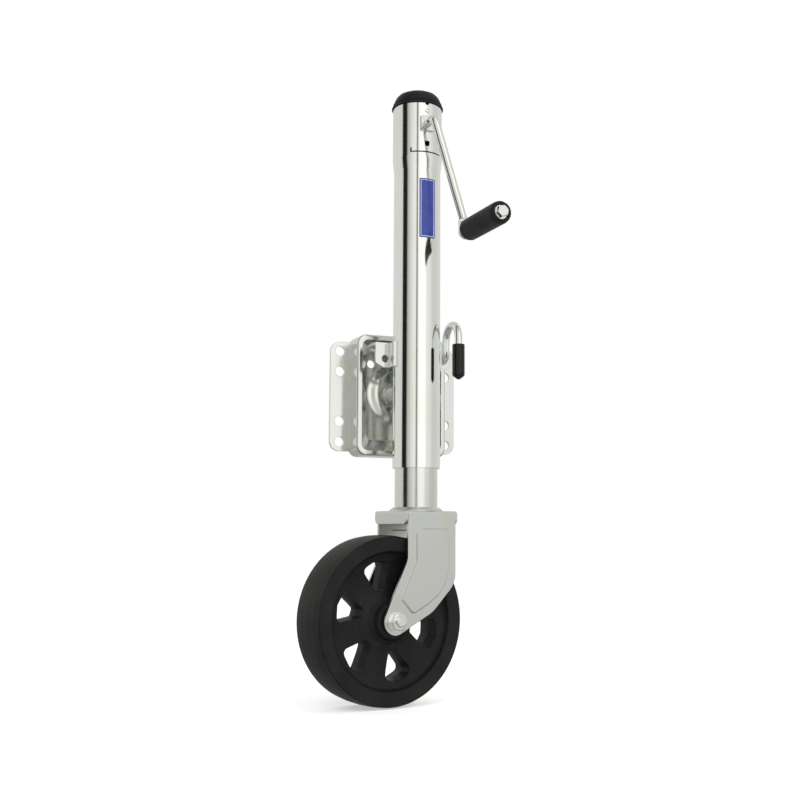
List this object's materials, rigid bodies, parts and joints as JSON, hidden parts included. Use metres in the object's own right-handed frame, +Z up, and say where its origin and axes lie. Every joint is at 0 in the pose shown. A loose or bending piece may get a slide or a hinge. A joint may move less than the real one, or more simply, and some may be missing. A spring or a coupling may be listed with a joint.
{
  "type": "trailer tongue jack",
  "caption": "Swing-away trailer tongue jack with a side crank, telescoping tubes, a swivel fork and a spoked wheel.",
  "frame": {"origin": "centre of the outer bolt pattern, on the face that meets the trailer frame", "axes": "+Z up along the jack tube, +Y into the trailer frame, crank at -Y"},
  "size_m": [0.2415, 0.2336, 0.7711],
  "materials": {
    "bright_zinc": "bright zinc plate",
    "satin_zinc": "satin zinc plate",
    "plain_steel": "oiled steel",
    "bronze": "satin",
    "black_plastic": "satin",
    "wheel_plastic": "satin",
    "black_vinyl": "gloss",
    "label_blue": "gloss"
  },
  "bodies": {
    "frame_bracket": {"mounting_bracket": "bright_zinc"},
    "jack_body": {"outer_tube": "bright_zinc", "top_cap": "black_plastic", "head_rivet": "bright_zinc", "crank_bushing_front": "bright_zinc", "crank_bushing_rear": "bright_zinc", "bearing_plate": "plain_steel", "thrust_race_lower": "plain_steel", "thrust_balls": "plain_steel", "ball_cage": "plain_steel", "label_plate": "label_blue", "saddle_bracket": "bright_zinc", "pivot_hub": "bright_zinc", "pivot_washer": "bright_zinc", "pivot_retainer": "bright_zinc", "pivot_bolt": "bright_zinc", "pin_spring": "plain_steel"},
    "pull_pin": {"pull_pin": "bright_zinc", "pin_collar": "bright_zinc", "pin_grip": "black_vinyl"},
    "crank": {"crank_rod": "bright_zinc", "shaft_clip": "bright_zinc", "crank_pinion": "plain_steel", "crank_pinion_pin": "plain_steel", "grip_bolt": "bright_zinc", "grip_washer": "bright_zinc"},
    "grip": {"crank_grip": "black_plastic"},
    "screw": {"lead_screw": "plain_steel", "screw_gear": "plain_steel", "screw_gear_pin": "plain_steel", "thrust_race_upper": "plain_steel"},
    "ram": {"inner_tube": "bright_zinc", "lead_nut": "plain_steel", "ram_plug": "plain_steel", "kingpin": "plain_steel", "kingpin_washer": "bright_zinc", "kingpin_nut": "bright_zinc"},
    "caster": {"caster_fork": "satin_zinc", "fork_collar": "satin_zinc", "axle_bolt": "bright_zinc", "axle_nut": "bright_zinc", "axle_washers": "bright_zinc", "axle_spacers": "bright_zinc"},
    "wheel": {"wheel": "wheel_plastic", "wheel_bush": "bronze"}
  },
  "joints": [
    {"name": "jack_swing", "type": "hinge", "parent": "frame_bracket", "child": "jack_body", "pos_m": [0, -0.02, 0.004], "axis": [0, -1, 0], "range_deg": [0, 90]},
    {"name": "pull_pin_slide", "type": "slide", "parent": "jack_body", "child": "pull_pin", "axis": [0, -1, 0], "range_m": [0, 0.012], "stiffness_N_per_m": 400, "springref_m": -0.02, "deforming": ["pin_spring"]},
    {"name": "crank_turn", "type": "hinge", "parent": "jack_body", "child": "crank", "pos_m": [0, -0.081, 0.34], "axis": [0, 1, 0], "range_deg": [-6252, 29638]},
    {"name": "screw_turn", "type": "hinge", "parent": "jack_body", "child": "screw", "pos_m": [0, -0.081, 0], "axis": [0, 0, 1], "range_deg": [-14820, 3127]},
    {"name": "ram_lift", "type": "slide", "parent": "jack_body", "child": "ram", "axis": [0, 0, -1], "range_m": [-0.0441, 0.2091]},
    {"name": "grip_spin", "type": "hinge", "parent": "crank", "child": "grip", "pos_m": [0.04457, -0.18, 0.1995], "axis": [0, 1, 0], "continuous": true},
    {"name": "caster_swivel", "type": "hinge", "parent": "ram", "child": "caster", "pos_m": [0, -0.081, -0.149], "axis": [0, 0, 1], "continuous": true},
    {"name": "wheel_spin", "type": "hinge", "parent": "caster", "child": "wheel", "pos_m": [-0.05038, -0.09065, -0.2799], "axis": [-0.1881, 0.9822, 0], "continuous": true}
  ],
  "couplings": [
    {"joint": "crank_turn", "follows": "ram_lift", "rad_per_m": 2473.7},
    {"joint": "screw_turn", "follows": "ram_lift", "rad_per_m": -1236.8}
  ]
}
